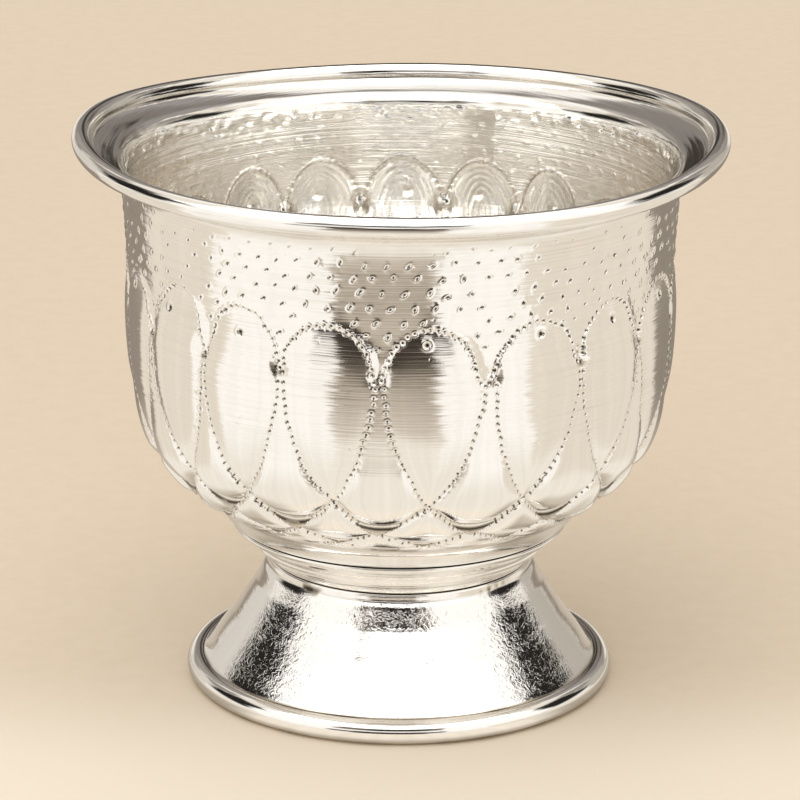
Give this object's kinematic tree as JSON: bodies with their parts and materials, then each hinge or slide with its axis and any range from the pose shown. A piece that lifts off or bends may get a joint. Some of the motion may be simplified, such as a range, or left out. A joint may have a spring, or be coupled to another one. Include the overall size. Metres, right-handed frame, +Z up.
{
  "type": "sindoor holder",
  "caption": "Footed sheet-metal cup for vermilion powder: embossed petal bowl with a rolled rim, ring collar and flared hollow foot.",
  "frame": {"origin": "centre of the foot's resting ring, on the surface that the cup stands on", "axes": "+Z up along the cup's axis of revolution, -Y to the front"},
  "size_m": [0.065, 0.065, 0.0567],
  "materials": {
    "bowl_metal": "bright nickel-silver sheet, spun, embossed and polished, with fine turning lines",
    "collar_metal": "bright nickel-silver, spun and polished",
    "foot_metal": "bright nickel-silver sheet with a fine pebbled texture, smooth rolled edge",
    "solder": "dull grey soft solder"
  },
  "bodies": {
    "root": {"bowl_shell": "bowl_metal", "neck_collar": "collar_metal", "foot_shell": "foot_metal", "solder_bowl_to_collar": "solder", "solder_collar_to_foot": "solder"}
  },
  "joints": []
}
